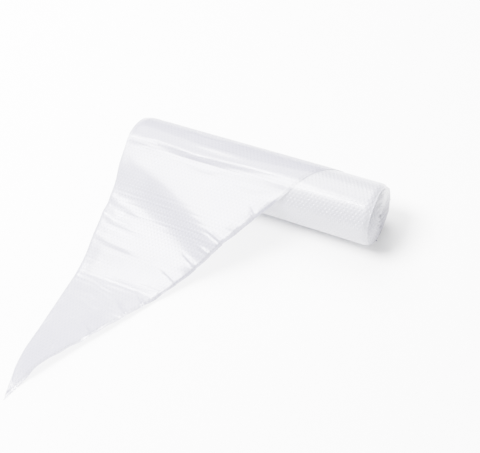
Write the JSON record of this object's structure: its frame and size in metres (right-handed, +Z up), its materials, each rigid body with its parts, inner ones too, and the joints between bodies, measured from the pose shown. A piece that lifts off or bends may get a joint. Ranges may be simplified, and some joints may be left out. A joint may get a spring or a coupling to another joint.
{
  "type": "roll of piping bags",
  "caption": "Coreless roll of disposable film piping bags wound as one perforated web, with the first bag pulled out flat in front, ready to tear off.",
  "frame": {"origin": "on the table, in the middle of the footprint of the roll and the bag pulled out in front of it", "axes": "+X along the roll, +Y from the pulled-out bag's point towards the roll, +Z up from the table"},
  "size_m": [0.17, 0.2034, 0.0392],
  "materials": {
    "film": "thin milky polyethylene film, embossed all over with small raised dots",
    "wound_film": "the same embossed film in many wound layers, so it looks more opaque"
  },
  "bodies": {
    "film": {"bag_01_wrap": "film"},
    "roll": {"bag_02": "wound_film", "bag_03": "wound_film", "bag_04": "wound_film", "bag_05": "wound_film", "bag_06": "wound_film", "bag_07": "wound_film", "bag_08": "wound_film", "bag_09": "wound_film", "bag_10": "wound_film", "bag_11": "wound_film", "bag_12": "wound_film", "bag_13": "wound_film", "bag_14": "wound_film", "bag_15": "wound_film", "bag_16": "wound_film", "bag_17": "wound_film", "bag_18": "wound_film", "bag_19": "wound_film", "bag_20": "wound_film", "bag_21": "wound_film", "bag_22": "wound_film", "bag_23": "wound_film", "bag_24": "wound_film", "bag_25": "wound_film", "bag_26": "wound_film", "bag_27": "wound_film", "bag_28": "wound_film", "bag_29": "wound_film", "bag_30": "wound_film", "bag_31": "wound_film", "bag_32": "wound_film", "bag_33": "wound_film", "bag_34": "wound_film", "bag_35": "wound_film", "bag_36": "wound_film", "bag_37": "wound_film", "bag_38": "wound_film", "bag_39": "wound_film", "bag_40": "wound_film", "bag_41": "wound_film", "bag_42": "wound_film", "bag_43": "wound_film", "bag_44": "wound_film", "bag_45": "wound_film", "bag_46": "wound_film", "bag_47": "wound_film", "bag_48": "wound_film", "bag_49": "wound_film"},
    "flap": {"bag_01_flap": "film"},
    "panel": {"bag_01_panel": "film"},
    "tip": {"bag_01_tip": "film"}
  },
  "joints": [
    {"name": "roll_turn", "type": "hinge", "parent": "film", "child": "roll", "pos_m": [0, 0.0821, 0.0196], "axis": [1, 0, 0], "continuous": true},
    {"name": "flap_lift", "type": "hinge", "parent": "film", "child": "flap", "pos_m": [0, 0.07233, 0.03652], "axis": [-1, 0, 0], "range_deg": [0, 110]},
    {"name": "panel_fold", "type": "hinge", "parent": "flap", "child": "panel", "pos_m": [0, -0.0129, 0.00013], "axis": [-1, 0, 0], "range_deg": [0, 120]},
    {"name": "tip_curl", "type": "hinge", "parent": "panel", "child": "tip", "pos_m": [0, -0.0729, 0.00013], "axis": [-1, 0, 0], "range_deg": [0, 90]}
  ]
}
